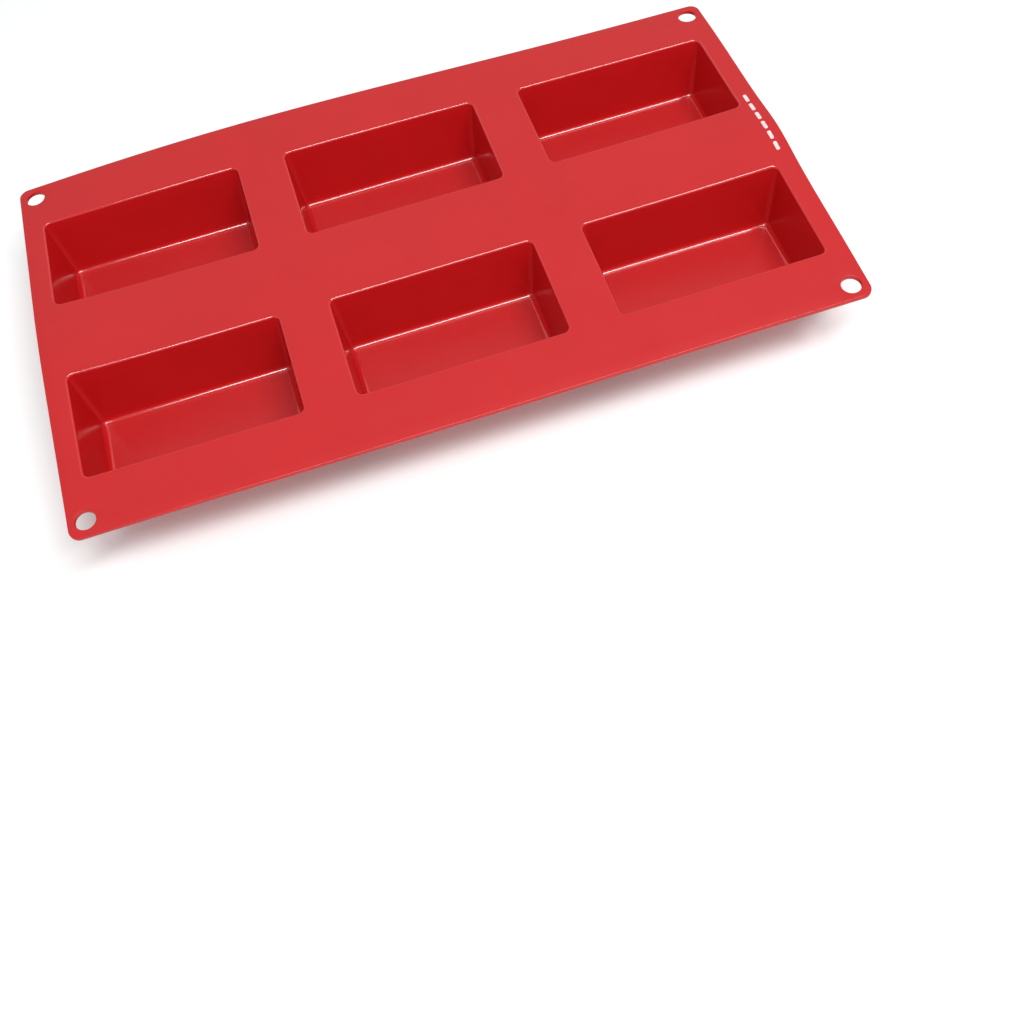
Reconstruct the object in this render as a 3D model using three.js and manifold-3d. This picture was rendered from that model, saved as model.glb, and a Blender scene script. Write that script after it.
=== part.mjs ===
// Silicone soap mould: a thin flat sheet with six loaf-shaped cups in three columns and two rows.
//
// Millimetres, +Z up. X runs along the length, Y across it towards the back. The origin is at the middle of
// the footprint, on the plane that the cup bottoms stand on.
//
// The mould is one moulding, divided here into the regions that have a job of their own: deck fields, bending
// webs, cups, border ribs and corner eyelets. Regions meet on flat planes, so that none overlaps another.

import * as THREE from 'three';
import { mergeVertices } from 'three/addons/utils/BufferGeometryUtils.js';
import Module from 'manifold-3d';

// ---- driving dimensions ----

const LENGTH = 300;
const WIDTH = 175;
const HEIGHT = 30;
const CORNER_RADIUS = 4;

const SHEET_THICKNESS = 1.25;
const BORDER_DEPTH = 0.75; // how far the border stands below the sheet
const BORDER_WIDTH = 3.3;

const COLUMN_PITCH = 101;
const ROW_PITCH = 82;

const MOUTH_LENGTH = 81;
const MOUTH_WIDTH = 46;
const FLOOR_LENGTH = 76.6;
const WALL = 1.8;
const INNER_CORNER_RADIUS = 2.4;
const OUTER_CORNER_RADIUS = 4.2;
const INNER_FLOOR_RADIUS = 1.6;
const OUTER_BOTTOM_RADIUS = 3.4;

const HOLE_RADIUS = 3.8;
const HOLE_INSET = 6.5;
const EYELET_RADIUS = 6.8;
const EYELET_BLOCK = 14; // the corner square that holds an eyelet

const WEB_WIDTH = 14;

const RING_OUTER_RADIUS = 3.8;
const RING_INNER_RADIUS = 3.3;
const RING_HEIGHT = 0.25;
const RING_PLACES = [-12, 3]; // Y of the two moulded rings under the right web

const PRINT_LENGTH = 36; // along Y
const PRINT_WIDTH = 3;
const PRINT_THICKNESS = 0.15;
const PRINT_PLACE = { x: LENGTH / 2 - 4.8, y: 6 };

const ARC_SEGMENTS = 3; // three.js makes twice as many on each quarter turn
const BEVEL_SEGMENTS = 3;
const HOLE_SEGMENTS = 24;

// ---- worked out from them ----

const DECK_BOTTOM = HEIGHT - SHEET_THICKNESS;
const BORDER_BOTTOM = DECK_BOTTOM - BORDER_DEPTH;
const WEB_CENTRE = COLUMN_PITCH / 2;
const WEB_INNER = WEB_CENTRE - WEB_WIDTH / 2;
const WEB_OUTER = WEB_CENTRE + WEB_WIDTH / 2;
const TAPER = (MOUTH_LENGTH - FLOOR_LENGTH) / 2 / (HEIGHT - WALL); // inset per millimetre of depth
const OVERSHOOT = 10; // how far a cutting tool runs past what it cuts

const COLUMNS = { left: -COLUMN_PITCH, centre: 0, right: COLUMN_PITCH };
const ROWS = { front: -ROW_PITCH / 2, back: ROW_PITCH / 2 };
const HOLES = [-1, 1].flatMap((side) => [-1, 1].map((row) => ({
  x: side * (LENGTH / 2 - HOLE_INSET),
  y: row * (WIDTH / 2 - HOLE_INSET),
})));

// ---- materials ----

const plain = (color, roughness) => new THREE.MeshStandardMaterial({ color, roughness, metalness: 0 });
const satinRed = plain(0xd03a3b, 0.45);
const glossyRed = plain(0xb01418, 0.2);
const paleInk = plain(0xf3e4e2, 0.5);

// ---- joining and cutting ----

const wasm = await Module();
wasm.setup();

function solidOf(geometry) {
  const bare = geometry.clone();
  bare.deleteAttribute('normal');
  bare.deleteAttribute('uv');
  const merged = mergeVertices(bare, 1e-5);
  const mesh = new wasm.Mesh({
    numProp: 3,
    vertProperties: new Float32Array(merged.attributes.position.array),
    triVerts: new Uint32Array(merged.index.array),
  });
  return new wasm.Manifold(mesh);
}

function geometryOf(solid) {
  const mesh = solid.getMesh();
  const geometry = new THREE.BufferGeometry();
  geometry.setAttribute('position', new THREE.BufferAttribute(mesh.vertProperties, 3));
  geometry.setIndex(new THREE.BufferAttribute(mesh.triVerts, 1));
  geometry.computeVertexNormals();
  return geometry;
}

// ---- shapes ----

function roundedRectangle(length, width, radius) {
  const [x, y] = [length / 2, width / 2];
  const shape = new THREE.Shape();
  shape.moveTo(x, y - radius);
  shape.absarc(x - radius, y - radius, radius, 0, Math.PI / 2, false);
  shape.absarc(-x + radius, y - radius, radius, Math.PI / 2, Math.PI, false);
  shape.absarc(-x + radius, -y + radius, radius, Math.PI, Math.PI * 1.5, false);
  shape.absarc(x - radius, -y + radius, radius, Math.PI * 1.5, Math.PI * 2, false);
  shape.closePath();
  return shape;
}

// A flat plate of the given outline between two heights.
function plate(shape, bottom, top) {
  const geometry = new THREE.ExtrudeGeometry(shape, {
    depth: top - bottom,
    bevelEnabled: false,
    curveSegments: ARC_SEGMENTS,
  });
  return solidOf(geometry.translate(0, 0, bottom));
}

// A box given by its lowest and highest corners.
function block([x0, y0, z0], [x1, y1, z1]) {
  const geometry = new THREE.BoxGeometry(x1 - x0, y1 - y0, z1 - z0);
  return solidOf(geometry.translate((x0 + x1) / 2, (y0 + y1) / 2, (z0 + z1) / 2));
}

function disc(radius, bottom, top, x, y) {
  const geometry = new THREE.CylinderGeometry(radius, radius, top - bottom, HOLE_SEGMENTS);
  return solidOf(geometry.rotateX(Math.PI / 2).translate(x, y, (bottom + top) / 2));
}

// A rounded rectangular plug that narrows downwards from its size at the top of the mould, with a rounded
// bottom edge. It runs on above the mould, where it is trimmed or used as a cutter.
function taperedPlug(topLength, topWidth, cornerRadius, bottomRadius, bottom) {
  const geometry = new THREE.ExtrudeGeometry(roundedRectangle(topLength, topWidth, cornerRadius), {
    depth: HEIGHT + OVERSHOOT - bottom - bottomRadius,
    bevelEnabled: true,
    bevelThickness: bottomRadius,
    bevelSize: bottomRadius,
    bevelOffset: -bottomRadius,
    bevelSegments: BEVEL_SEGMENTS,
    curveSegments: ARC_SEGMENTS,
  });
  geometry.translate(0, 0, bottom + bottomRadius);
  const place = geometry.attributes.position;
  for (let i = 0; i < place.count; i += 1) {
    const inset = TAPER * (HEIGHT - place.getZ(i));
    place.setX(i, place.getX(i) * (1 - inset / (topLength / 2)));
    place.setY(i, place.getY(i) * (1 - inset / (topWidth / 2)));
  }
  return solidOf(geometry);
}

const mouthCutter = (x, y) =>
  taperedPlug(MOUTH_LENGTH, MOUTH_WIDTH, INNER_CORNER_RADIUS, INNER_FLOOR_RADIUS, WALL).translate(x, y, 0);

const sheetOutline = () => roundedRectangle(LENGTH, WIDTH, CORNER_RADIUS);

function withoutHoles(layer) {
  let rest = layer;
  for (const hole of HOLES) {
    rest = rest.subtract(disc(HOLE_RADIUS, BORDER_BOTTOM - OVERSHOOT, HEIGHT + OVERSHOOT, hole.x, hole.y));
  }
  return rest;
}

// The whole border layer under the sheet: a frame, and a disc round each hanging hole.
function borderLayer() {
  const outer = plate(sheetOutline(), BORDER_BOTTOM, DECK_BOTTOM);
  const [x, y] = [LENGTH / 2 - BORDER_WIDTH, WIDTH / 2 - BORDER_WIDTH];
  let layer = outer.subtract(block([-x, -y, BORDER_BOTTOM - OVERSHOOT], [x, y, DECK_BOTTOM + OVERSHOOT]));
  for (const hole of HOLES) {
    layer = layer.add(disc(EYELET_RADIUS, BORDER_BOTTOM, DECK_BOTTOM, hole.x, hole.y).intersect(outer));
  }
  return withoutHoles(layer);
}

// The part of a layer between two X values and two Y values.
function portion(layer, x0, x1, y0, y1) {
  return layer.intersect(block([x0, y0, -OVERSHOOT], [x1, y1, HEIGHT + OVERSHOOT]));
}

// ---- regions ----

const mould = new THREE.Group();

function addRegion(name, solid, material) {
  const mesh = new THREE.Mesh(geometryOf(solid), material);
  mesh.name = name;
  mould.add(mesh);
}

// [from, to] along X of each column's field; the webs lie between them.
const FIELDS = {
  left: [-LENGTH / 2, -WEB_OUTER],
  centre: [-WEB_INNER, WEB_INNER],
  right: [WEB_OUTER, LENGTH / 2],
};
const WEBS = { left: [-WEB_OUTER, -WEB_INNER], right: [WEB_INNER, WEB_OUTER] };
const BACK_EDGE = WIDTH / 2;
const BACK_INNER = BACK_EDGE - EYELET_BLOCK;
const END_EDGE = LENGTH / 2;
const END_INNER = END_EDGE - EYELET_BLOCK;

function addDecks(sheet) {
  for (const [column, [from, to]] of Object.entries(FIELDS)) {
    let field = portion(sheet, from, to, -BACK_EDGE, BACK_EDGE);
    for (const y of Object.values(ROWS)) {
      field = field.subtract(mouthCutter(COLUMNS[column], y));
    }
    addRegion(`${column}_deck`, field, satinRed);
  }
}

// A plain raised ring under the sheet, as left by the mould maker's tool.
function mouldedRing(x, y) {
  const section = [
    new THREE.Vector2(RING_INNER_RADIUS, 0),
    new THREE.Vector2(RING_OUTER_RADIUS, 0),
    new THREE.Vector2(RING_OUTER_RADIUS, RING_HEIGHT + SHEET_THICKNESS / 2),
    new THREE.Vector2(RING_INNER_RADIUS, RING_HEIGHT + SHEET_THICKNESS / 2),
    new THREE.Vector2(RING_INNER_RADIUS, 0),
  ];
  const geometry = new THREE.LatheGeometry(section, HOLE_SEGMENTS).rotateX(Math.PI / 2);
  return solidOf(geometry.translate(x, y, DECK_BOTTOM - RING_HEIGHT));
}

function addWebs(sheet, border) {
  for (const [side, [from, to]] of Object.entries(WEBS)) {
    const strip = portion(sheet, from, to, -BACK_EDGE, BACK_EDGE);
    let web = strip.add(portion(border, from, to, -BACK_EDGE, BACK_EDGE));
    if (side === 'right') {
      for (const y of RING_PLACES) web = web.add(mouldedRing(WEB_CENTRE, y));
    }
    addRegion(`${side}_flex_web`, web, satinRed);
  }
}

// An open cup: an outer plug, cut flat under the deck, with the mouth's plug taken out of it.
function addCups() {
  for (const [row, y] of Object.entries(ROWS)) {
    for (const [column, x] of Object.entries(COLUMNS)) {
      const outer = taperedPlug(
        MOUTH_LENGTH + 2 * WALL, MOUTH_WIDTH + 2 * WALL, OUTER_CORNER_RADIUS, OUTER_BOTTOM_RADIUS, 0,
      ).translate(x, y, 0);
      const [reachX, reachY] = [COLUMN_PITCH / 2, ROW_PITCH / 2];
      const below = block([x - reachX, y - reachY, -OVERSHOOT], [x + reachX, y + reachY, DECK_BOTTOM]);
      const cup = outer.intersect(below).subtract(mouthCutter(x, y));
      addRegion(`${row}_${column}_cup`, cup, glossyRed);
    }
  }
}

function addRibs(border) {
  for (const [column, [from, to]] of Object.entries(FIELDS)) {
    const [start, end] = [Math.max(from, -END_INNER), Math.min(to, END_INNER)];
    addRegion(`front_${column}_rib`, portion(border, start, end, -BACK_EDGE, -BACK_INNER), satinRed);
    addRegion(`back_${column}_rib`, portion(border, start, end, BACK_INNER, BACK_EDGE), satinRed);
  }
  addRegion('left_end_rib', portion(border, -END_EDGE, -END_INNER, -BACK_INNER, BACK_INNER), satinRed);
  addRegion('right_end_rib', portion(border, END_INNER, END_EDGE, -BACK_INNER, BACK_INNER), satinRed);
}

function addEyelets(border) {
  const ends = { left: [-END_EDGE, -END_INNER], right: [END_INNER, END_EDGE] };
  const sides = { front: [-BACK_EDGE, -BACK_INNER], back: [BACK_INNER, BACK_EDGE] };
  for (const [side, [y0, y1]] of Object.entries(sides)) {
    for (const [end, [x0, x1]] of Object.entries(ends)) {
      addRegion(`${side}_${end}_eyelet`, portion(border, x0, x1, y0, y1), satinRed);
    }
  }
}

function addPrint() {
  const outline = roundedRectangle(PRINT_WIDTH, PRINT_LENGTH, PRINT_WIDTH / 3);
  const mark = plate(outline, HEIGHT, HEIGHT + PRINT_THICKNESS).translate(PRINT_PLACE.x, PRINT_PLACE.y, 0);
  addRegion('print_mark', mark, paleInk);
}

const sheet = withoutHoles(plate(sheetOutline(), DECK_BOTTOM, HEIGHT));
const border = borderLayer();

addDecks(sheet);
addWebs(sheet, border);
addCups();
addRibs(border);
addEyelets(border);
addPrint();

export default mould;
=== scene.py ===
"""Silicone soap mould: the visible skin of a tray of small loaf cups, built round its fixed frame.

Lengths are in metres, +Z is up, +X runs along the tray and +Y towards its back row. The skin is cut
where the tray bends: three fields of sheet, two bending webs between them, six cups, a printed mark
and two small moulded rings.
"""

import math

import bmesh
import bpy
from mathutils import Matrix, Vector


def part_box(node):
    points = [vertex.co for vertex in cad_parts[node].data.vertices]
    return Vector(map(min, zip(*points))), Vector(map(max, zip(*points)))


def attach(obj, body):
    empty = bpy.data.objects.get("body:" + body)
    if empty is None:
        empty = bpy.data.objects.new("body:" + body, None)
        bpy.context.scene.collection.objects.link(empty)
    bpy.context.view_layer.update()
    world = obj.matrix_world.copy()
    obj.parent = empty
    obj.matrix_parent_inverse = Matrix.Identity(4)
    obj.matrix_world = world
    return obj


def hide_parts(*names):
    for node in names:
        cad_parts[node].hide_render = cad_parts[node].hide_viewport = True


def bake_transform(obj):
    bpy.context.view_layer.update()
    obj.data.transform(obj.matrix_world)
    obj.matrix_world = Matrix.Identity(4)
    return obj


bl_info = {
    "name": "Silicone soap mould",
    "version": (1, 0, 0),
    "blender": (4, 5, 0),
    "location": "View3D > Sidebar > Soap mould",
    "description": "Models and finishes the skin of a silicone tray of loaf cups",
    "category": "Add Mesh",
}

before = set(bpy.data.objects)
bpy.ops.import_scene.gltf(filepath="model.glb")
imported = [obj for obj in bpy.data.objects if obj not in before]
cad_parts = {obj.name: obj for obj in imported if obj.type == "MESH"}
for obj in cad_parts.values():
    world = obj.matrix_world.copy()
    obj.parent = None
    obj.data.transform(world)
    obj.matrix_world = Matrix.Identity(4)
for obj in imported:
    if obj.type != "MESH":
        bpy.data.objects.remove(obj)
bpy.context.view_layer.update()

MM = 0.001
GRAZE = 1e-6  # a vertex this near to a cutting plane counts as on it
LEVEL = 1e-5  # an edge this near to a height counts as at it

# ---- places read from the frame ----

SHEET_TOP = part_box("centre_deck")[1].z
SHEET_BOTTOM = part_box("centre_deck")[0].z
BORDER_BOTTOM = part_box("front_centre_rib")[0].z
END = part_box("right_deck")[1].x
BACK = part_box("right_deck")[1].y
BORDER_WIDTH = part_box("back_centre_rib")[1].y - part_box("back_centre_rib")[0].y
WEB_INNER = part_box("right_flex_web")[0].x
WEB_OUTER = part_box("right_flex_web")[1].x
WEB_CENTRE = (WEB_INNER + WEB_OUTER) / 2
CUP_LOW, CUP_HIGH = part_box("back_right_cup")
CUP_PLACE = (CUP_LOW + CUP_HIGH) / 2
CUP_SIZE = CUP_HIGH - CUP_LOW
PRINT_LOW, PRINT_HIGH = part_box("print_mark")

COLUMNS = {"left": -CUP_PLACE.x, "centre": 0.0, "right": CUP_PLACE.x}
ROWS = {"front": -CUP_PLACE.y, "back": CUP_PLACE.y}
FIELDS = {
    "left": (-END, -WEB_OUTER),
    "centre": (-WEB_INNER, WEB_INNER),
    "right": (WEB_OUTER, END),
}
WEBS = {"left": (-WEB_OUTER, -WEB_INNER), "right": (WEB_INNER, WEB_OUTER)}
SIDE_NODES = ("{0}_deck", "front_{0}_rib", "back_{0}_rib")
END_NODES = ("{0}_end_rib", "front_{0}_eyelet", "back_{0}_eyelet")

# ---- how finely the roundings are divided ----

CORNER_STEPS = 8
ROUND_STEPS = 9
RIM_STEPS = 6
EDGE_STEPS = 3
HOLE_STEPS = 48
RECESS_CORNER_STEPS = 2
DASH_CORNER_STEPS = 4
RING_STEPS = (64, 10)

# ---- cuts that let the skin take its rest shape; none runs through a cup's roundings ----

CUP_CUTS_X = [cut * MM for cut in range(-35, 36, 5)]  # from the middle of a cup
CUP_CUTS_Y = [cut * MM for cut in range(-15, 16, 5)]
CUP_CUTS_Z = [cut * MM for cut in (7, 12, 17, 22)]  # from the plane that the tray stands on
BAND_CUTS = (2.5, 5, 7.5, 10, 12.5, 15.5, 19, 67, 72, 77, 82)  # mm from the middle line, in Y
END_CUT = 4 * MM  # from the tray's end
WEB_CUTS = 10

# ---- the sheet's rest shape ----

LEFT_BOW_REACH = 40 * MM
RIGHT_BOW_REACH = 15 * MM
BACK_WAVE_SHARE = 0.8  # of the front edge's sag
BACK_WAVE_CREST = -60 * MM
BACK_WAVE_LENGTH = 55 * MM  # of one radian of the wave
CAGE_MARGIN = 2.04  # the cage is this many times half the tray, to reach a little past it
CAGE_POINTS = (17, 11, 2)

# ---- small fixed sizes ----

PAST = MM  # how far a cutter reaches past what it cuts, at least
RECESS_CORNER = 0.3 * MM
FLOOR_EDGE = 5 * MM  # from a cup's outside to where its floor begins to stand up
FLOOR_SKIN = 2.2 * MM  # what lies lower than this in a cup is its floor
DASHES = 6
DASH_WIDTH = 1.5 * MM
DASH_SHARE = 0.74  # of the pitch from one dash to the next
DASH_CORNER = 0.6 * MM
DASH_SINK = 0.1 * MM  # how deep the dashes sit in the sheet
RINGS = {"front": -12 * MM, "back": 3 * MM}
RING_RADIUS = 3.55 * MM
RING_THICK = 0.25 * MM
RING_FLATTEN = 0.9

# ---- how faces and edges are told apart; a normal here is its part along Z ----

SHARP = math.radians(60)
UNDERSIDE_NORMAL = -0.3
EDGE_NORMALS = (0.08, 0.985)
EDGE_FACE = 4 * MM * MM  # the faces of the rounded edges are smaller than this
HOLE_EDGE = MM  # a face this near to a hanging hole belongs to the hole's edge
RIM_NORMAL = 0.97
RIM_SKIN = 0.1 * MM  # the rim flat lies less than this below the sheet's top
FLOOR_NORMAL = 0.999
WALL_NORMAL = 0.1  # the walls' faces look up less than this, and the roundings' faces more

# ---- silicone ----

SILICONE_IOR = 1.43
GLOSS_IOR = 1.6
MOTTLE_SCALE = 45  # cycles per metre, as the next two
HAZE_SCALE = 60
SWELL_SCALE = 28
SWELL_DEPTH = 0.8 * MM
HAZE_SHARE = 0.08  # how far the roughness strays from its setting
NOISE_LOW, NOISE_HIGH = 0.3, 0.7  # where most of a noise value lies

# A finish takes its colour and roughness from the settings of those names. Its grain is given as
# cycles per metre, strength and depth.
FINISHES = {
    "satin_silicone": {
        "colour": "satin_red", "roughness": "satin_roughness", "shiny": False,
        "mottle": 0.025, "grain": (2600, 0.25, 0.03 * MM), "swell": 0.05,
    },
    "polished_silicone": {
        # the cups' colour carries painted light: a lighter copy of the sheet's red, lifting the shade
        # inside the cups
        "colour": "cup_red", "roughness": "cup_roughness", "shiny": True,
        "mottle": 0.03, "grain": (1500, 0.03, 0.01 * MM), "swell": 0.25,
    },
    "wall_silicone": {
        # painted light: the walls and the sheet's outer edge take the cups' lighter copy of the
        # sheet's red
        "colour": "cup_red", "roughness": "wall_roughness", "shiny": False,
        "mottle": 0.03, "grain": (1500, 0.03, 0.01 * MM), "swell": 0.15,
    },
    "floor_silicone": {
        # painted shade: the cup floors take a darker copy of the cups' red, greyed by a painted haze
        # of reflection
        "colour": "floor_red", "roughness": "floor_roughness", "shiny": False,
        "mottle": 0.02, "grain": (1500, 0.03, 0.01 * MM), "swell": 0.06,
    },
    "matt_silicone": {
        # painted sheen: the underside's own red is made paler by a painted haze of rough reflection
        "colour": "matt_red", "roughness": "matt_roughness", "shiny": False,
        "mottle": 0.04, "grain": (1900, 0.5, 0.05 * MM), "swell": 0.12,
    },
}

# ---- stage ----

FLOOR_SIZE = 40
FLOOR_DROP = 0.0002  # below the cup bottoms, so that they don't touch
KEY_PLACE = (0.16, -0.38, 1.02)
KEY_SIZE = (0.95, 0.28)
BACK_PLACE = (0.15, 0.9, 0.9)
BACK_SIZE = (1.2, 0.6)
SENSOR_WIDTH = 36


# ---- settings ----


def length(name, description, millimetres):
    return bpy.props.FloatProperty(
        name=name, description=description, default=millimetres * MM, unit="LENGTH", precision=5
    )


def colour(name, description, value):
    return bpy.props.FloatVectorProperty(
        name=name, description=description, default=value, subtype="COLOR", size=3, min=0, max=1
    )


def share(name, description, value):
    return bpy.props.FloatProperty(
        name=name, description=description, default=value, min=0, max=1, subtype="FACTOR"
    )


class MouldShape(bpy.types.PropertyGroup):
    wall: length("Cup wall", "Thickness of the cups' walls and floors", 1.8)
    draft: share("Draft", "How far a cup wall leans in for each unit of depth", 0.078)
    cup_corner: length("Cup corner", "Radius of the cups' upright corners, inside", 2.4)
    floor_round: length("Floor rounding", "Radius between wall and floor, inside the cup", 2.0)
    rim_round: length("Rim rounding", "Radius between the sheet and the cup's inside", 0.9)
    root_round: length("Root rounding", "Radius between the sheet and the cup's outside", 0.7)
    rim_flat: length("Rim flat", "Width of the flat sheet that belongs to a cup", 2.5)
    sheet_corner: length("Sheet corner", "Radius of the sheet's corners", 4.0)
    sheet_edge: length("Sheet edge", "Rounding of the sheet's outer edge", 0.4)
    hole_radius: length("Hole radius", "Radius of the hanging holes", 3.8)
    hole_inset: length("Hole inset", "From the middle of a hanging hole to the sheet's edges", 6.5)
    boss_radius: length("Boss radius", "Radius of the thick disc round a hanging hole", 6.8)
    sag: length("Sag", "How far the sheet's unsupported corners droop", 1.8)
    left_bow: length("Left bow", "How far the sheet's left end lifts, in a broad wave", 2.4)
    right_bow: length("Right bow", "How far the sheet's right end lifts between the two rows", 3.4)
    edge_wave: length("Edge wave", "How far the sheet's long edges stand out of flat", 2.6)
    floor_dish: length("Floor dish", "How far a cup's floor stands up at its middle", 0.35)


class SiliconeLook(bpy.types.PropertyGroup):
    satin_red: colour("Sheet red", "Colour of the satin top of the sheet", (0.50, 0.012, 0.014))
    # Painted light: the cups' red is a lighter copy of the sheet's red, to lift the shade inside the
    # cups; the sheet's outer edge takes it too
    cup_red: colour("Cup red", "Colour of the walls and roundings, inside a cup", (0.54, 0.009, 0.011))
    # Painted shade: a darker copy of the cups' red for the cup floors, made greyer by a painted haze
    # of reflection
    floor_red: colour("Cup floor red", "Colour of the cup floors, inside", (0.49, 0.016, 0.018))
    # The underside's own red, made paler by a painted sheen of rough haze
    matt_red: colour("Underside red", "Colour of the matt underside", (0.52, 0.056, 0.053))
    ink: colour("Ink", "Colour of the printed mark", (0.72, 0.65, 0.635))
    satin_roughness: share("Sheet roughness", "Roughness of the satin top", 0.42)
    cup_roughness: share("Cup roughness", "Roughness of the polished roundings", 0.10)
    wall_roughness: share("Wall roughness", "Roughness of the cup walls and the sheet's edge", 0.22)
    floor_roughness: share("Cup floor roughness", "Roughness of the cup floors, inside", 0.31)
    edge_gloss: share("Edge gloss", "How wet the roundings of the cups and rims shine", 0.9)
    gloss_roughness: share("Gloss roughness", "Roughness of that shine", 0.06)
    matt_roughness: share("Underside roughness", "Roughness of the matt underside", 0.46)


class StageLook(bpy.types.PropertyGroup):
    floor_colour: colour("Floor", "Colour of the studio floor", (0.88, 0.90, 0.90))
    floor_glow: bpy.props.FloatProperty(
        name="Floor glow", description="Light that comes through the floor, as on a light table",
        default=0.06, min=0,
    )
    sky_strength: bpy.props.FloatProperty(
        name="Sky", description="Brightness of the white surroundings", default=0.53, min=0
    )
    key_power: bpy.props.FloatProperty(
        name="Key light", description="Power of the long soft box overhead",
        default=10.4, min=0, unit="POWER",
    )
    back_power: bpy.props.FloatProperty(
        name="Back light", description="Power of the broad soft box behind",
        default=0.6, min=0, unit="POWER",
    )
    camera_place: bpy.props.FloatVectorProperty(
        name="Camera place", description="Where the camera stands", subtype="TRANSLATION",
        default=(-0.0359, -0.3305, 0.3813), unit="LENGTH",
    )
    camera_turn: bpy.props.FloatVectorProperty(
        name="Camera turn", description="Tilt, roll and heading of the camera", subtype="EULER",
        default=(math.radians(29.68), math.radians(4.7), math.radians(-17.54)), unit="ROTATION",
    )
    camera_lens: bpy.props.FloatProperty(
        name="Lens", description="Focal length in millimetres on a 36 mm sensor",
        default=42.5, min=1,
    )


def shape():
    return bpy.context.scene.mould_shape


def look():
    return bpy.context.scene.silicone_look


# ---- working in edit mode ----


def start_alone(obj):
    """Selects obj and nothing else, and makes it the active object."""
    if bpy.context.object and bpy.context.object.mode != "OBJECT":
        bpy.ops.object.mode_set(mode="OBJECT")
    bpy.ops.object.select_all(action="DESELECT")
    obj.select_set(True)
    bpy.context.view_layer.objects.active = obj


def start_edit(obj, kind="FACE"):
    start_alone(obj)
    bpy.ops.object.mode_set(mode="EDIT")
    bpy.ops.mesh.select_mode(type=kind)
    bpy.ops.mesh.select_all(action="DESELECT")


def end_edit():
    bpy.ops.object.mode_set(mode="OBJECT")


def choose_edges(obj, test):
    """Selects the edges that pass the test, and nothing else."""
    bpy.ops.mesh.select_mode(type="EDGE")
    bpy.ops.mesh.select_all(action="DESELECT")
    mesh = bmesh.from_edit_mesh(obj.data)
    for edge in mesh.edges:
        if test(edge):
            edge.select_set(True)
    mesh.select_flush_mode()
    bmesh.update_edit_mesh(obj.data)


def is_level(edge, height):
    """True if both ends of an edge lie at this height."""
    return all(abs(vertex.co.z - height) < LEVEL for vertex in edge.verts)


def round_edges(radius, steps):
    """Rounds the selected edges."""
    bpy.ops.mesh.bevel(offset=radius, segments=steps, affect="EDGES", clamp_overlap=False)


def apply_place(obj):
    start_alone(obj)
    bpy.ops.object.transform_apply(location=True, rotation=True, scale=True)


def rounded_plane(name, size_x, size_y, radius, height, steps=CORNER_STEPS):
    """A flat rounded rectangle about the origin, as one face."""
    bpy.ops.object.select_all(action="DESELECT")
    bpy.ops.mesh.primitive_plane_add(size=1, location=(0, 0, height))
    obj = bpy.context.object
    obj.name = name
    obj.scale = (size_x, size_y, 1)
    apply_place(obj)
    start_edit(obj, "VERT")
    bpy.ops.mesh.select_all(action="SELECT")
    bpy.ops.mesh.bevel(offset=radius, segments=steps, affect="VERTICES", clamp_overlap=False)
    end_edit()
    return obj


def raise_plane(obj, rise):
    """Turns a flat face into a closed block of that height."""
    start_edit(obj)
    bpy.ops.mesh.select_all(action="SELECT")
    bpy.ops.mesh.extrude_region_move(TRANSFORM_OT_translate={"value": (0, 0, rise)})
    bpy.ops.mesh.select_all(action="SELECT")
    bpy.ops.mesh.normals_make_consistent(inside=False)
    end_edit()


def upright_cylinder(name, radius, x, y, bottom, top):
    bpy.ops.object.select_all(action="DESELECT")
    bpy.ops.mesh.primitive_cylinder_add(
        vertices=HOLE_STEPS, radius=radius, depth=top - bottom, location=(x, y, (bottom + top) / 2)
    )
    obj = bpy.context.object
    obj.name = name
    apply_place(obj)
    return obj


def take_away(obj, cutter):
    """Cuts one closed shape out of another and removes the cutter."""
    start_alone(obj)
    cut = obj.modifiers.new("cut", "BOOLEAN")
    cut.operation = "DIFFERENCE"
    cut.solver = "EXACT"
    cut.object = cutter
    bpy.ops.object.modifier_apply(modifier=cut.name)
    bpy.data.objects.remove(cutter)


def cut_across(obj, axis, places):
    """Cuts the whole mesh by planes across one axis, so that it can bend smoothly."""
    start_edit(obj)
    for place in places:
        point = [0.0, 0.0, 0.0]
        normal = [0.0, 0.0, 0.0]
        point[axis] = place
        normal[axis] = 1.0
        bpy.ops.mesh.select_all(action="SELECT")
        bpy.ops.mesh.bisect(plane_co=point, plane_no=normal, threshold=GRAZE)
    end_edit()


def keep_between(obj, low, high):
    """Keeps what lies between two planes across X, with the cut ends closed."""
    start_edit(obj)
    if low > -END + GRAZE:
        bpy.ops.mesh.select_all(action="SELECT")
        bpy.ops.mesh.bisect(
            plane_co=(low, 0, 0), plane_no=(1, 0, 0), threshold=GRAZE, use_fill=True, clear_inner=True
        )
    if high < END - GRAZE:
        bpy.ops.mesh.select_all(action="SELECT")
        bpy.ops.mesh.bisect(
            plane_co=(high, 0, 0), plane_no=(1, 0, 0), threshold=GRAZE, use_fill=True, clear_outer=True
        )
    end_edit()


def copy_of(obj, name):
    twin = obj.copy()
    twin.data = obj.data.copy()
    twin.name = name
    twin.data.name = name
    bpy.context.scene.collection.objects.link(twin)
    return twin


def smooth(obj, degrees=35):
    start_alone(obj)
    bpy.ops.object.shade_smooth_by_angle(angle=math.radians(degrees))


# ---- the sheet's rest shape ----


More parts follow.
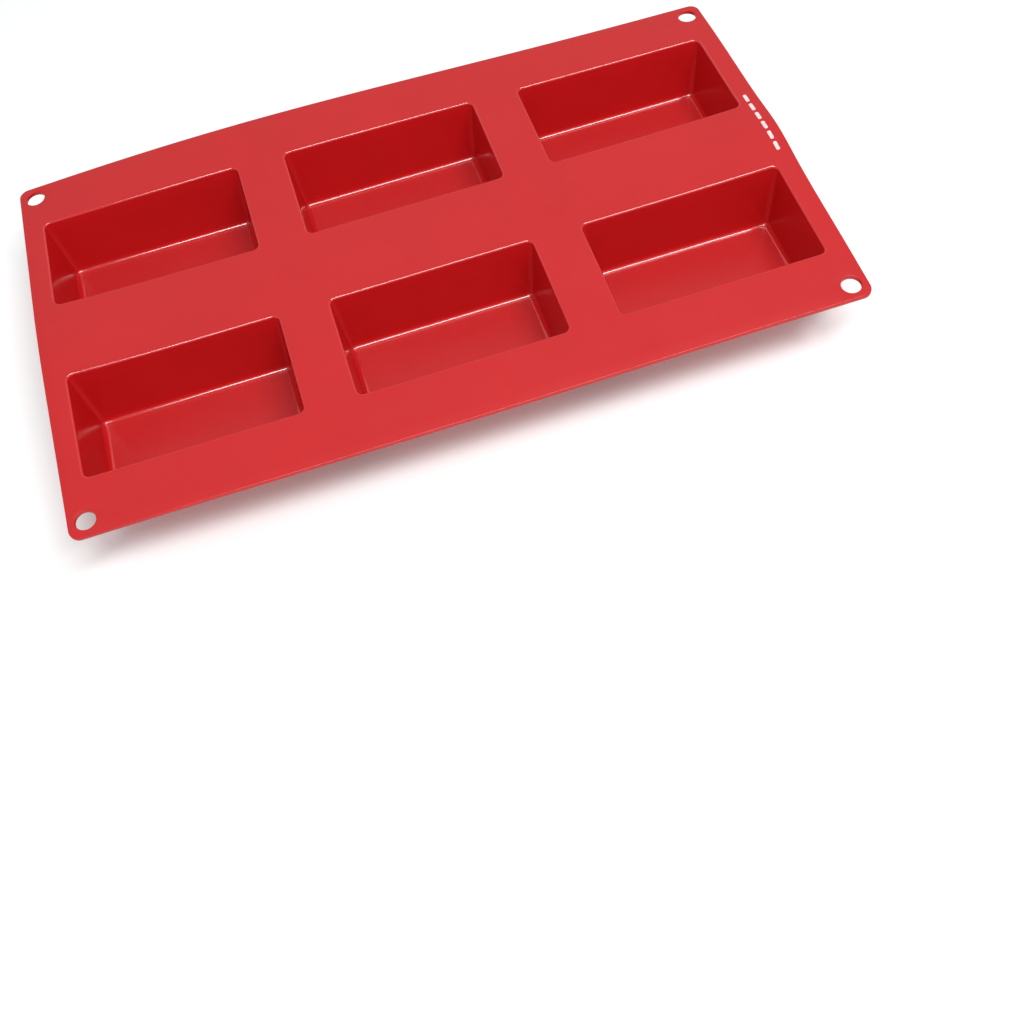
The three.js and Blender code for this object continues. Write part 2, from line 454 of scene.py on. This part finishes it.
def sheet_lift(x, y):
    """How far the thin sheet stands above flat at a place.

    Its corners droop, its ends bow up between the rows, its front edge sags and its back edge waves.
    """
    along = abs(x) / END
    across = abs(y) / BACK
    corner_droop = shape().sag * (along * across) ** 3
    if x < 0:
        bow, reach = shape().left_bow, LEFT_BOW_REACH
    else:
        bow, reach = shape().right_bow, RIGHT_BOW_REACH
    end_bow = bow * along**6 * math.exp(-((y / reach) ** 2))
    if y < 0:
        edge_wave = -shape().edge_wave * math.cos(math.pi / 2 * x / END)
    else:
        phase = (x - BACK_WAVE_CREST) / BACK_WAVE_LENGTH
        edge_wave = BACK_WAVE_SHARE * shape().edge_wave * math.cos(phase)
    return end_bow - corner_droop + edge_wave * across**3


def relax(obj):
    """Lets the piece take the sheet's rest shape. The plane of the cup bottoms stays where it is."""
    bpy.ops.object.select_all(action="DESELECT")
    middle = SHEET_TOP / 2
    bpy.ops.object.add(type="LATTICE", location=(0, 0, middle))
    cage = bpy.context.object
    cage.scale = (CAGE_MARGIN * END, CAGE_MARGIN * BACK, SHEET_TOP)
    cage.data.points_u, cage.data.points_v, cage.data.points_w = CAGE_POINTS
    cage.data.interpolation_type_w = "KEY_LINEAR"
    bpy.context.view_layer.update()
    for point in cage.data.points:
        place = cage.matrix_world @ point.co
        if place.z > middle:
            point.co_deform.z += sheet_lift(place.x, place.y) / cage.scale.z
    start_alone(obj)
    bend = obj.modifiers.new("relax", "LATTICE")
    bend.object = cage
    bpy.context.view_layer.update()
    bpy.ops.object.modifier_apply(modifier=bend.name)
    bpy.data.objects.remove(cage)


# ---- materials ----


def new_material(name):
    material = bpy.data.materials.new(name)
    material.use_nodes = True
    nodes, links = material.node_tree.nodes, material.node_tree.links
    return material, nodes, links, nodes["Principled BSDF"]


def noise(nodes, links, scale, detail):
    """Noise in the piece's own coordinates, at so many cycles per metre."""
    place = nodes.new("ShaderNodeTexCoord")
    texture = nodes.new("ShaderNodeTexNoise")
    texture.inputs["Scale"].default_value = scale
    texture.inputs["Detail"].default_value = detail
    texture.inputs["Roughness"].default_value = 0.55
    links.new(place.outputs["Object"], texture.inputs["Vector"])
    return texture.outputs["Fac"]


def spread(nodes, links, value, low, high):
    """Maps a noise value to a range."""
    node = nodes.new("ShaderNodeMapRange")
    node.inputs["From Min"].default_value = NOISE_LOW
    node.inputs["From Max"].default_value = NOISE_HIGH
    node.inputs["To Min"].default_value = low
    node.inputs["To Max"].default_value = high
    links.new(value, node.inputs["Value"])
    return node.outputs["Result"]


def tint(nodes, links, value, base, change):
    """The base colour, made a little darker and lighter by a noise value."""
    ramp = nodes.new("ShaderNodeValToRGB")
    ramp.color_ramp.elements[0].position = NOISE_LOW
    ramp.color_ramp.elements[1].position = NOISE_HIGH
    ramp.color_ramp.elements[0].color = (*[c * (1 - change) for c in base], 1)
    ramp.color_ramp.elements[1].color = (*[min(1, c * (1 + change)) for c in base], 1)
    links.new(value, ramp.inputs["Fac"])
    return ramp.outputs["Color"]


def bump(nodes, links, height, strength, distance, below=None):
    node = nodes.new("ShaderNodeBump")
    node.inputs["Strength"].default_value = strength
    node.inputs["Distance"].default_value = distance
    links.new(height, node.inputs["Height"])
    if below is not None:
        links.new(below, node.inputs["Normal"])
    return node.outputs["Normal"]


def silicone(name):
    """One of the silicone finishes, made once: its mottle, its haze, its slow swell and its grain."""
    made = bpy.data.materials.get(name)
    if made:
        return made
    finish = FINISHES[name]
    base = getattr(look(), finish["colour"])
    roughness = getattr(look(), finish["roughness"])
    grain_scale, grain_strength, grain_depth = finish["grain"]
    material, nodes, links, shader = new_material(name)
    shader.inputs["IOR"].default_value = SILICONE_IOR
    shader.inputs["Coat Weight"].default_value = look().edge_gloss if finish["shiny"] else 0.0
    shader.inputs["Coat Roughness"].default_value = look().gloss_roughness
    shader.inputs["Coat IOR"].default_value = GLOSS_IOR
    broad = noise(nodes, links, MOTTLE_SCALE, detail=3)
    links.new(tint(nodes, links, broad, base, finish["mottle"]), shader.inputs["Base Color"])
    haze = noise(nodes, links, HAZE_SCALE, detail=2)
    uneven = spread(nodes, links, haze, roughness * (1 - HAZE_SHARE), roughness * (1 + HAZE_SHARE))
    links.new(uneven, shader.inputs["Roughness"])
    wave = noise(nodes, links, SWELL_SCALE, detail=1)
    slow = bump(nodes, links, wave, finish["swell"], SWELL_DEPTH)
    grain = noise(nodes, links, grain_scale, detail=2)
    fine = bump(nodes, links, grain, grain_strength, grain_depth, slow)
    links.new(fine, shader.inputs["Normal"])
    return material


def screen_ink():
    """Screen printed ink: nearly opaque, with small pinholes where the red shows through."""
    material, nodes, links, shader = new_material("screen_ink")
    specks = noise(nodes, links, scale=2400, detail=3)
    ramp = nodes.new("ShaderNodeValToRGB")
    ramp.color_ramp.elements[0].position = 0.30
    ramp.color_ramp.elements[0].color = (*look().satin_red, 1)
    ramp.color_ramp.elements[1].position = 0.38
    ramp.color_ramp.elements[1].color = (*look().ink, 1)
    links.new(specks, ramp.inputs["Fac"])
    links.new(ramp.outputs["Color"], shader.inputs["Base Color"])
    links.new(spread(nodes, links, specks, low=0.45, high=0.6), shader.inputs["Roughness"])
    return material


def give_materials(obj, materials, which):
    """Gives the object these materials, and each face the one whose number which(face) returns."""
    obj.data.materials.clear()
    for material in materials:
        obj.data.materials.append(material)
    for face in obj.data.polygons:
        face.material_index = which(face)


# ---- sheet fields and webs ----


def hole_places():
    x = END - shape().hole_inset
    y = BACK - shape().hole_inset
    return [(side * x, row * y) for side in (-1, 1) for row in (-1, 1)]


def recess_cutter():
    """What is hollowed out of the sheet's underside: all inside the border, but not the bosses."""
    inner_x = 2 * (END - BORDER_WIDTH)
    inner_y = 2 * (BACK - BORDER_WIDTH)
    low = BORDER_BOTTOM - 2 * PAST
    cutter = rounded_plane("recess", inner_x, inner_y, RECESS_CORNER, low, RECESS_CORNER_STEPS)
    raise_plane(cutter, SHEET_BOTTOM - BORDER_BOTTOM + 2 * PAST)
    for x, y in hole_places():
        lower = BORDER_BOTTOM - 4 * PAST
        boss = upright_cylinder("boss", shape().boss_radius, x, y, lower, SHEET_TOP)
        take_away(cutter, boss)
    return cutter


def cup_opening_size():
    """Length, width and corner radius of the outline where a cup's rim flat meets the sheet."""
    margin = 2 * shape().rim_flat
    mouth_x, mouth_y = mouth_size()
    return mouth_x + margin, mouth_y + margin, shape().cup_corner + shape().rim_flat


def mouth_size():
    """Length and width of a cup's mouth, inside, at the sheet's top."""
    lean = shape().draft * (SHEET_TOP - CUP_SIZE.z)
    return CUP_SIZE.x + 2 * (lean - shape().wall), CUP_SIZE.y + 2 * (lean - shape().wall)


def whole_sheet():
    """The sheet in one piece: a plate with a recessed underside, hanging holes and cup openings."""
    sheet = rounded_plane("sheet", 2 * END, 2 * BACK, shape().sheet_corner, BORDER_BOTTOM)
    raise_plane(sheet, SHEET_TOP - BORDER_BOTTOM)
    take_away(sheet, recess_cutter())
    for x, y in hole_places():
        low, high = BORDER_BOTTOM - PAST, SHEET_TOP + PAST
        take_away(sheet, upright_cylinder("hole", shape().hole_radius, x, y, low, high))
    round_sheet_edges(sheet)
    opening_x, opening_y, radius = cup_opening_size()
    for x in COLUMNS.values():
        for y in ROWS.values():
            cutter = rounded_plane("opening", opening_x, opening_y, radius, SHEET_BOTTOM - PAST)
            raise_plane(cutter, SHEET_TOP - SHEET_BOTTOM + 2 * PAST)
            cutter.location = (x, y, 0)
            apply_place(cutter)
            take_away(sheet, cutter)
    return sheet


def round_sheet_edges(sheet):
    """Rounds the outer edge, the hanging holes and the lip of the border."""
    start_edit(sheet)
    choose_edges(sheet, is_sheet_edge)
    round_edges(shape().sheet_edge, EDGE_STEPS)
    end_edit()


def is_sheet_edge(edge):
    return is_crease(edge) and (is_level(edge, SHEET_TOP) or is_level(edge, BORDER_BOTTOM))


def is_crease(edge):
    return len(edge.link_faces) == 2 and edge.calc_face_angle(0) > SHARP


def bend_lines():
    """Where the sheet is cut across X and across Y, to take its rest shape and bend at the webs."""
    across_x = []
    for x in COLUMNS.values():
        across_x += [x + cut for cut in CUP_CUTS_X]
    across_x += [side * (END - END_CUT) for side in (-1, 1)]
    for low, high in WEBS.values():
        across_x += [low + (high - low) * i / WEB_CUTS for i in range(WEB_CUTS + 1)]
    across_y = [0.0]
    for y in ROWS.values():
        across_y += [y + cut for cut in CUP_CUTS_Y]
    for side in (-1, 1):
        across_y += [side * y * MM for y in BAND_CUTS]
    return sorted(across_x), sorted(across_y)


def sheet_material(face):
    """0 for the satin top, 1 for the matt underside, 2 for the smoother rounding of the outer edge."""
    if face.normal.z < UNDERSIDE_NORMAL:
        return 1
    low, high = EDGE_NORMALS
    is_rounding = low < face.normal.z < high and face.area < EDGE_FACE
    return 2 if is_rounding and not is_near_hole(face.center) else 0


def is_near_hole(point):
    reach = shape().hole_radius + HOLE_EDGE
    return any(math.hypot(point.x - x, point.y - y) < reach for x, y in hole_places())


def finish_sheet_piece(piece):
    relax(piece)
    smooth(piece)
    names = ("satin_silicone", "matt_silicone", "wall_silicone")
    give_materials(piece, [silicone(name) for name in names], sheet_material)


def build_sheet():
    sheet = whole_sheet()
    across_x, across_y = bend_lines()
    cut_across(sheet, 0, across_x)
    cut_across(sheet, 1, across_y)
    for side, (low, high) in FIELDS.items():
        piece = copy_of(sheet, f"{side}_sheet_field")
        keep_between(piece, low, high)
        finish_sheet_piece(piece)
        patterns = SIDE_NODES if side == "centre" else SIDE_NODES + END_NODES
        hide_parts(*[pattern.format(side) for pattern in patterns])
        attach(piece, f"{side}_column")
    for side, (low, high) in WEBS.items():
        piece = copy_of(sheet, f"{side}_bending_web")
        keep_between(piece, low, high)
        finish_sheet_piece(piece)
        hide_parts(f"{side}_flex_web")
        blend_across_web(piece)
    bpy.data.objects.remove(sheet)


def blend_across_web(piece):
    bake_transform(piece)


# ---- cups ----


def cup_skin(name, mouth_x, mouth_y, corner, flat, top, bottom, edge_round, bottom_round):
    """A flat outline, inset to the cup's mouth, pushed down to its floor and rounded."""
    skin = rounded_plane(name, mouth_x + 2 * flat, mouth_y + 2 * flat, corner + flat, top)
    start_edit(skin)
    bpy.ops.mesh.select_all(action="SELECT")
    bpy.ops.mesh.inset(thickness=flat, depth=0)
    bpy.ops.mesh.extrude_region_move(TRANSFORM_OT_translate={"value": (0, 0, bottom - top)})
    lean = 2 * shape().draft * (top - bottom)
    narrower = (1 - lean / mouth_x, 1 - lean / mouth_y, 1)
    bpy.ops.transform.resize(value=narrower, center_override=(0, 0, bottom))
    choose_edges(skin, lambda edge: is_level(edge, bottom))
    round_edges(bottom_round, ROUND_STEPS)
    choose_edges(skin, lambda edge: is_level(edge, top) and is_crease(edge))
    round_edges(edge_round, RIM_STEPS)
    end_edit()
    return skin


def one_cup():
    """A closed cup about the origin: its inside and outside skins, joined round the rim flat."""
    wall, flat = shape().wall, shape().rim_flat
    mouth_x, mouth_y = mouth_size()
    inside = cup_skin(
        "cup", mouth_x, mouth_y, shape().cup_corner, flat,
        SHEET_TOP, CUP_LOW.z + wall, shape().rim_round, shape().floor_round,
    )
    grow = (CUP_SIZE.x - mouth_x) / 2
    outside = cup_skin(
        "cup_outside", CUP_SIZE.x, CUP_SIZE.y, shape().cup_corner + grow, flat - grow,
        SHEET_BOTTOM, CUP_LOW.z, shape().root_round, shape().floor_round + wall,
    )
    start_edit(outside)
    bpy.ops.mesh.select_all(action="SELECT")
    bpy.ops.mesh.flip_normals()
    end_edit()
    start_alone(inside)
    outside.select_set(True)
    bpy.ops.object.join()
    start_edit(inside, "EDGE")
    choose_edges(inside, lambda edge: len(edge.link_faces) == 1)
    bpy.ops.mesh.bridge_edge_loops()
    end_edit()
    cut_across(inside, 0, CUP_CUTS_X)
    cut_across(inside, 1, CUP_CUTS_Y)
    cut_across(inside, 2, CUP_CUTS_Z)
    dish_floor(inside)
    return inside


def dish_floor(cup):
    """Lets the thin floor stand up a little at its middle, by the same amount on both its faces."""
    half_x, half_y = CUP_SIZE.x / 2 - FLOOR_EDGE, CUP_SIZE.y / 2 - FLOOR_EDGE
    start_edit(cup, "VERT")
    mesh = bmesh.from_edit_mesh(cup.data)
    for vertex in mesh.verts:
        if vertex.co.z < CUP_LOW.z + FLOOR_SKIN:
            crown_x = max(0.0, 1 - (vertex.co.x / half_x) ** 2)
            crown_y = max(0.0, 1 - (vertex.co.y / half_y) ** 2)
            vertex.co.z += shape().floor_dish * crown_x * crown_y
    bmesh.update_edit_mesh(cup.data)
    end_edit()


def cup_material(face):
    """0 for the polished roundings, 1 for the rim flat, 2 the outside, 3 the floor, 4 the walls."""
    if face.normal.z > RIM_NORMAL and face.center.z > SHEET_TOP - RIM_SKIN:
        return 1
    if face.normal.z > FLOOR_NORMAL:
        return 3
    if not looks_inwards(face):
        return 2
    return 0 if face.normal.z > WALL_NORMAL else 4


def looks_inwards(face):
    """True for the inside of a cup about the origin: its faces look up or towards the middle."""
    towards_middle = face.normal.x * face.center.x + face.normal.y * face.center.y < 0
    return face.normal.z > 0.5 or (face.normal.z > -0.5 and towards_middle)


def build_cups():
    pattern = one_cup()
    names = (
        "polished_silicone", "satin_silicone", "matt_silicone", "floor_silicone", "wall_silicone",
    )
    give_materials(pattern, [silicone(name) for name in names], cup_material)
    for row, y in ROWS.items():
        for column, x in COLUMNS.items():
            cup = copy_of(pattern, f"{row}_{column}_loaf_cup")
            cup.location = (x, y, 0)
            apply_place(cup)
            relax(cup)
            smooth(cup)
            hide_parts(f"{row}_{column}_cup")
            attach(cup, f"{column}_column")
    bpy.data.objects.remove(pattern)


# ---- printed mark and moulded rings ----


def build_print():
    """A plain row of short printed dashes."""
    pitch = (PRINT_HIGH.y - PRINT_LOW.y) / DASHES
    dash_length = DASH_SHARE * pitch
    middle_x = (PRINT_LOW.x + PRINT_HIGH.x) / 2
    low = SHEET_TOP - DASH_SINK
    dashes = []
    for i in range(DASHES):
        dash = rounded_plane("dash", DASH_WIDTH, dash_length, DASH_CORNER, low, DASH_CORNER_STEPS)
        raise_plane(dash, DASH_SINK + PRINT_HIGH.z - SHEET_TOP)
        dash.location = (middle_x, PRINT_LOW.y + pitch * (i + 0.5), 0)
        apply_place(dash)
        dashes.append(dash)
    mark = dashes[0]
    start_alone(mark)
    for dash in dashes[1:]:
        dash.select_set(True)
    bpy.ops.object.join()
    mark.name = "printed_dashes"
    relax(mark)
    smooth(mark)
    mark.data.materials.append(screen_ink())
    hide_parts("print_mark")
    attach(mark, "right_column")


def build_rings():
    """Two plain raised rings under the right web, left by the moulding tool."""
    around, across = RING_STEPS
    for name, y in RINGS.items():
        bpy.ops.object.select_all(action="DESELECT")
        bpy.ops.mesh.primitive_torus_add(
            major_radius=RING_RADIUS, minor_radius=RING_THICK,
            major_segments=around, minor_segments=across, location=(WEB_CENTRE, y, SHEET_BOTTOM),
        )
        ring = bpy.context.object
        ring.name = f"{name}_moulded_ring"
        ring.scale = (1, 1, RING_FLATTEN)
        apply_place(ring)
        relax(ring)
        smooth(ring, degrees=60)
        ring.data.materials.append(silicone("matt_silicone"))
        blend_across_web(ring)


# ---- stage ----


def build_stage():
    stage = bpy.context.scene.stage_look
    bpy.ops.object.select_all(action="DESELECT")
    bpy.ops.mesh.primitive_plane_add(size=FLOOR_SIZE, location=(0, 0, -FLOOR_DROP))
    floor = bpy.context.object
    floor.name = "studio_floor"
    apply_place(floor)
    material, nodes, links, shader = new_material("studio_floor")
    shade = noise(nodes, links, scale=3, detail=2)
    links.new(
        tint(nodes, links, shade, stage.floor_colour, change=0.01), shader.inputs["Base Color"]
    )
    shader.inputs["Roughness"].default_value = 0.9
    shader.inputs["Specular IOR Level"].default_value = 0.1
    shader.inputs["Emission Color"].default_value = (1, 1, 1, 1)
    shader.inputs["Emission Strength"].default_value = stage.floor_glow
    floor.data.materials.append(material)

    world = bpy.data.worlds.new("studio")
    world.use_nodes = True
    background = world.node_tree.nodes["Background"]
    background.inputs["Color"].default_value = (1, 1, 1, 1)
    background.inputs["Strength"].default_value = stage.sky_strength
    bpy.context.scene.world = world
    bpy.context.scene.view_settings.view_transform = "Standard"

    soft_box("key_soft_box", KEY_PLACE, KEY_SIZE, stage.key_power)
    soft_box("back_soft_box", BACK_PLACE, BACK_SIZE, stage.back_power)

    bpy.ops.object.camera_add(location=stage.camera_place, rotation=stage.camera_turn)
    camera = bpy.context.object
    camera.name = "studio_camera"
    camera.data.lens = stage.camera_lens
    camera.data.sensor_width = SENSOR_WIDTH
    camera.data.clip_start = 0.01
    camera.data.dof.use_dof = False
    bpy.context.scene.camera = camera


def soft_box(name, place, size, power):
    """A rectangular lamp that faces the middle of the tray."""
    bpy.ops.object.light_add(type="AREA", location=place)
    lamp = bpy.context.object
    lamp.name = name
    lamp.data.shape = "RECTANGLE"
    lamp.data.size, lamp.data.size_y = size
    lamp.data.energy = power
    lamp.rotation_euler = (-Vector(place)).to_track_quat("-Z", "Y").to_euler()


# ---- operators ----


class MOULD_OT_sheet(bpy.types.Operator):
    """Models the sheet, its border and bosses, as three fields and two bending webs"""

    bl_idname = "mould.sheet"
    bl_label = "Sheet and webs"

    def execute(self, context):
        build_sheet()
        return {"FINISHED"}


class MOULD_OT_cups(bpy.types.Operator):
    """Models the six loaf cups"""

    bl_idname = "mould.cups"
    bl_label = "Loaf cups"

    def execute(self, context):
        build_cups()
        return {"FINISHED"}


class MOULD_OT_print(bpy.types.Operator):
    """Models the printed dashes at the right end"""

    bl_idname = "mould.print"
    bl_label = "Printed dashes"

    def execute(self, context):
        build_print()
        return {"FINISHED"}


class MOULD_OT_rings(bpy.types.Operator):
    """Models the two small rings under the right web"""

    bl_idname = "mould.rings"
    bl_label = "Moulded rings"

    def execute(self, context):
        build_rings()
        return {"FINISHED"}


class MOULD_OT_stage(bpy.types.Operator):
    """Sets up the floor, the lights and the camera"""

    bl_idname = "mould.stage"
    bl_label = "Stage"

    def execute(self, context):
        build_stage()
        return {"FINISHED"}


class MOULD_PT_panel(bpy.types.Panel):
    bl_label = "Soap mould"
    bl_idname = "MOULD_PT_panel"
    bl_space_type = "VIEW_3D"
    bl_region_type = "UI"
    bl_category = "Soap mould"

    def draw(self, context):
        for operator in OPERATORS:
            self.layout.operator(operator.bl_idname)
        for setting in SETTINGS:
            group = getattr(context.scene, setting)
            box = self.layout.box()
            for name in group.bl_rna.properties.keys():
                if name not in ("rna_type", "name"):
                    box.prop(group, name)


SETTINGS = {"mould_shape": MouldShape, "silicone_look": SiliconeLook, "stage_look": StageLook}
OPERATORS = (MOULD_OT_sheet, MOULD_OT_cups, MOULD_OT_print, MOULD_OT_rings, MOULD_OT_stage)


def register():
    for group in SETTINGS.values():
        bpy.utils.register_class(group)
    for name, group in SETTINGS.items():
        setattr(bpy.types.Scene, name, bpy.props.PointerProperty(type=group))
    for operator in OPERATORS:
        bpy.utils.register_class(operator)
    bpy.utils.register_class(MOULD_PT_panel)


def unregister():
    bpy.utils.unregister_class(MOULD_PT_panel)
    for operator in reversed(OPERATORS):
        bpy.utils.unregister_class(operator)
    for name, group in SETTINGS.items():
        delattr(bpy.types.Scene, name)
        bpy.utils.unregister_class(group)


def main():
    register()
    bpy.ops.mould.sheet()
    bpy.ops.mould.cups()
    bpy.ops.mould.print()
    bpy.ops.mould.rings()
    bpy.ops.mould.stage()


if __name__ == "__main__":
    main()
